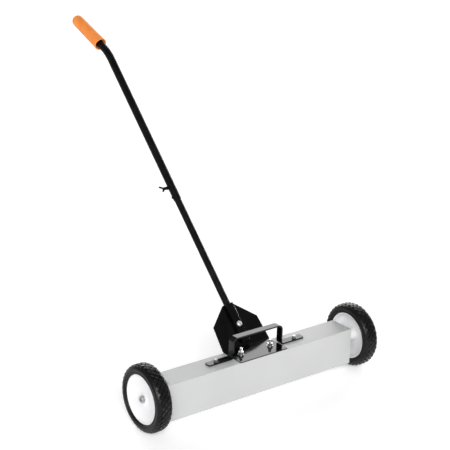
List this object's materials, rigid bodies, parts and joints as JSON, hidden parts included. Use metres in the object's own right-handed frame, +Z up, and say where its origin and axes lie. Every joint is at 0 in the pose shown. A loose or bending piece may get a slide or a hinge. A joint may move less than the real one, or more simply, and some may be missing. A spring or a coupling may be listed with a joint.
{
  "type": "magnetic nail sweeper",
  "caption": "Push-along magnetic sweeper: a magnet tray in a box housing between treaded wheels, a strip handle that raises it to drop the nails, and a telescoping angled push handle.",
  "frame": {"origin": "on the floor, under the middle of the sweeper's box (the handle reaches back as far as the wheels stand forward)", "axes": "+X along the axle, away from the side that has the clamp screw; +Y back towards the user, the way the handle leans; +Z up"},
  "size_m": [0.731, 0.9876, 0.8768],
  "materials": {
    "grey_paint": "light grey powder coat, semi-gloss",
    "black_paint": "gloss black powder coat",
    "zinc": "bright zinc plating",
    "bare_steel": "plain rolled steel, oiled",
    "spring_steel": "blued spring steel",
    "aluminium": "drawn aluminium",
    "hub_plastic": "white moulded plastic",
    "nylon": "natural nylon",
    "tyre_rubber": "black rubber",
    "grip_foam": "orange soft sleeve",
    "ferrite": "dark ceramic magnet"
  },
  "bodies": {
    "chassis": {"housing_shell": "grey_paint", "bottom_cover": "grey_paint", "cover_rivets": "aluminium", "end_plate_left": "grey_paint", "end_plate_right": "grey_paint", "end_screws": "zinc", "axle_bolt_left": "zinc", "axle_bolt_right": "zinc", "axle_washers": "zinc", "axle_spacers": "zinc", "axle_inner_washers": "zinc", "axle_nuts": "zinc", "backing_plate": "bare_steel", "handle_bracket": "black_paint", "bracket_bolts": "zinc", "bracket_washers": "zinc", "bracket_nuts": "zinc", "tube_bolt": "zinc", "tube_nut": "zinc", "lower_tube": "black_paint", "tube_guide_plug": "nylon", "button_spring": "spring_steel", "rod_bushes": "nylon"},
    "wheel_left": {"hub_left": "hub_plastic", "wheel_bush_left": "nylon", "tyre_left": "tyre_rubber"},
    "wheel_right": {"hub_right": "hub_plastic", "wheel_bush_right": "nylon", "tyre_right": "tyre_rubber"},
    "carriage": {"lift_handle": "black_paint", "lift_rods": "zinc", "lift_washers": "zinc", "lift_nuts": "zinc", "magnet_channel": "bare_steel", "magnet_blocks": "ferrite", "carriage_nuts": "zinc"},
    "handle_extension": {"upper_tube": "black_paint", "clamp_boss": "black_paint", "grip": "grip_foam"},
    "clamp_screw": {"wing_screw": "zinc"},
    "lock_button": {"snap_button": "zinc"}
  },
  "joints": [
    {"name": "wheel_left_spin", "type": "hinge", "parent": "chassis", "child": "wheel_left", "pos_m": [-0.3435, -0.40477, 0.089], "axis": [1, 0, 0], "continuous": true},
    {"name": "wheel_right_spin", "type": "hinge", "parent": "chassis", "child": "wheel_right", "pos_m": [0.3435, -0.40477, 0.089], "axis": [1, 0, 0], "continuous": true},
    {"name": "magnet_lift", "type": "slide", "parent": "chassis", "child": "carriage", "axis": [0, 0, 1], "range_m": [0, 0.035]},
    {"name": "handle_telescope", "type": "slide", "parent": "chassis", "child": "handle_extension", "axis": [0, 0.7133, 0.7009], "range_m": [-0.31, 0], "deforming": ["snap_button", "button_spring"]},
    {"name": "clamp_turn", "type": "hinge", "parent": "handle_extension", "child": "clamp_screw", "pos_m": [-0.02, -0.01341, 0.47451], "axis": [-1, 0, 0], "range_deg": [0, 360]},
    {"name": "button_press", "type": "slide", "parent": "chassis", "child": "lock_button", "axis": [1, 0, 0], "range_m": [0, 0.0054], "stiffness_N_per_m": 600, "deforming": ["button_spring"]}
  ]
}
